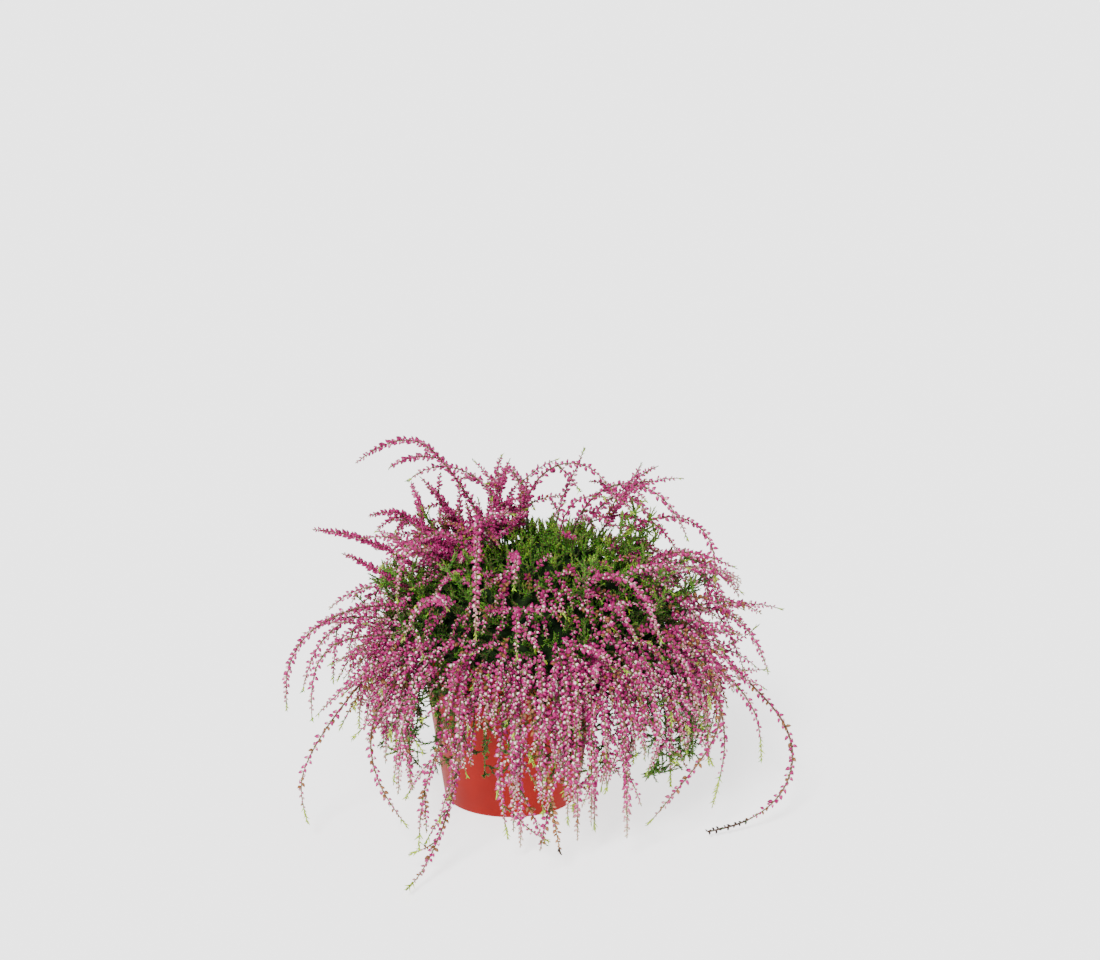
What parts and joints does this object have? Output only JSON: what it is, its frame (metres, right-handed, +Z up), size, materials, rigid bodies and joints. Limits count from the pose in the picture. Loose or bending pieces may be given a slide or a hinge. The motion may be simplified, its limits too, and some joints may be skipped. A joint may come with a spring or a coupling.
{
  "type": "potted heather",
  "caption": "Trailing bud heather in a thin tapered nursery pot: a leafy dome with arching and hanging sprays of pink buds.",
  "frame": {"origin": "centre of the pot's flat underside", "axes": "+Z up along the pot's axis, -Y towards the side that the picture shows, +X to its right"},
  "size_m": [0.3509, 0.3426, 0.2615],
  "materials": {
    "terracotta_plastic": "satin terracotta red moulded plastic",
    "peat": "dark brown damp peat crumbs",
    "foliage": "matte green heather foliage on brown stems",
    "buds": "closed buds, magenta at the tip and white at the base, on thin brown stems"
  },
  "bodies": {
    "root": {"bush": "foliage", "flower_spray_01_crown_left_arch": "buds", "flower_spray_02_crown_left_short": "buds", "flower_spray_03_left_flat": "buds", "flower_spray_04_left_hook": "buds", "flower_spray_05_left_level": "buds", "flower_spray_06_left_stub_upper": "buds", "flower_spray_07_crown_arch": "buds", "flower_spray_08_crown_sprig": "buds", "flower_spray_09_crown_small_arch": "buds", "flower_spray_10_crown_upright": "buds", "flower_spray_11_crown_tuft_mid": "buds", "flower_spray_12_crown_tuft_right": "buds", "flower_spray_13_right_high_arch": "buds", "flower_spray_14_right_low_arch": "buds", "flower_spray_15_centre_front": "buds", "flower_spray_16_left_inner_arc": "buds", "flower_spray_17_front_high_right": "buds", "flower_spray_18_front_mid": "buds", "flower_spray_19_right_diagonal": "buds", "flower_spray_20_left_cluster": "buds", "flower_spray_21_left_long_arch": "buds", "flower_spray_22_left_drop": "buds", "flower_spray_23_left_diagonal": "buds", "flower_spray_24_left_long_low": "buds", "flower_spray_25_left_inner_low": "buds", "flower_spray_26_left_front_drop": "buds", "flower_spray_27_front_left_drop": "buds", "flower_spray_28_front_table_touch": "buds", "flower_spray_29_front_short": "buds", "flower_spray_30_front_rusty": "buds", "flower_spray_31_front_right_drop": "buds", "flower_spray_32_front_right_low": "buds", "flower_spray_33_right_front_fall": "buds", "flower_spray_34_right_fall": "buds", "flower_spray_35_right_fall_outer": "buds", "flower_spray_36_right_green_drop": "buds", "flower_spray_37_right_long_diagonal": "buds", "flower_spray_38_right_sickle": "buds", "flower_spray_39_right_small_drop": "buds", "flower_spray_40_right_tip_up": "buds", "flower_spray_41_right_tip_level": "buds", "flower_spray_42_right_shoulder": "buds", "flower_spray_43_front_pot_left": "buds", "flower_spray_44_front_pot_mid": "buds", "flower_spray_45_front_pot_right": "buds", "flower_spray_46_left_side_level": "buds", "flower_spray_47_back_1": "buds", "flower_spray_48_back_2": "buds", "flower_spray_49_back_3": "buds", "flower_spray_50_back_4": "buds", "flower_spray_51_back_5": "buds", "flower_spray_52_back_6": "buds", "flower_spray_53_back_7": "buds", "flower_spray_54_back_8": "buds", "flower_spray_55_back_9": "buds", "flower_spray_56_back_10": "buds", "flower_spray_57_back_11": "buds", "pot": "terracotta_plastic", "soil": "peat"}
  },
  "joints": []
}
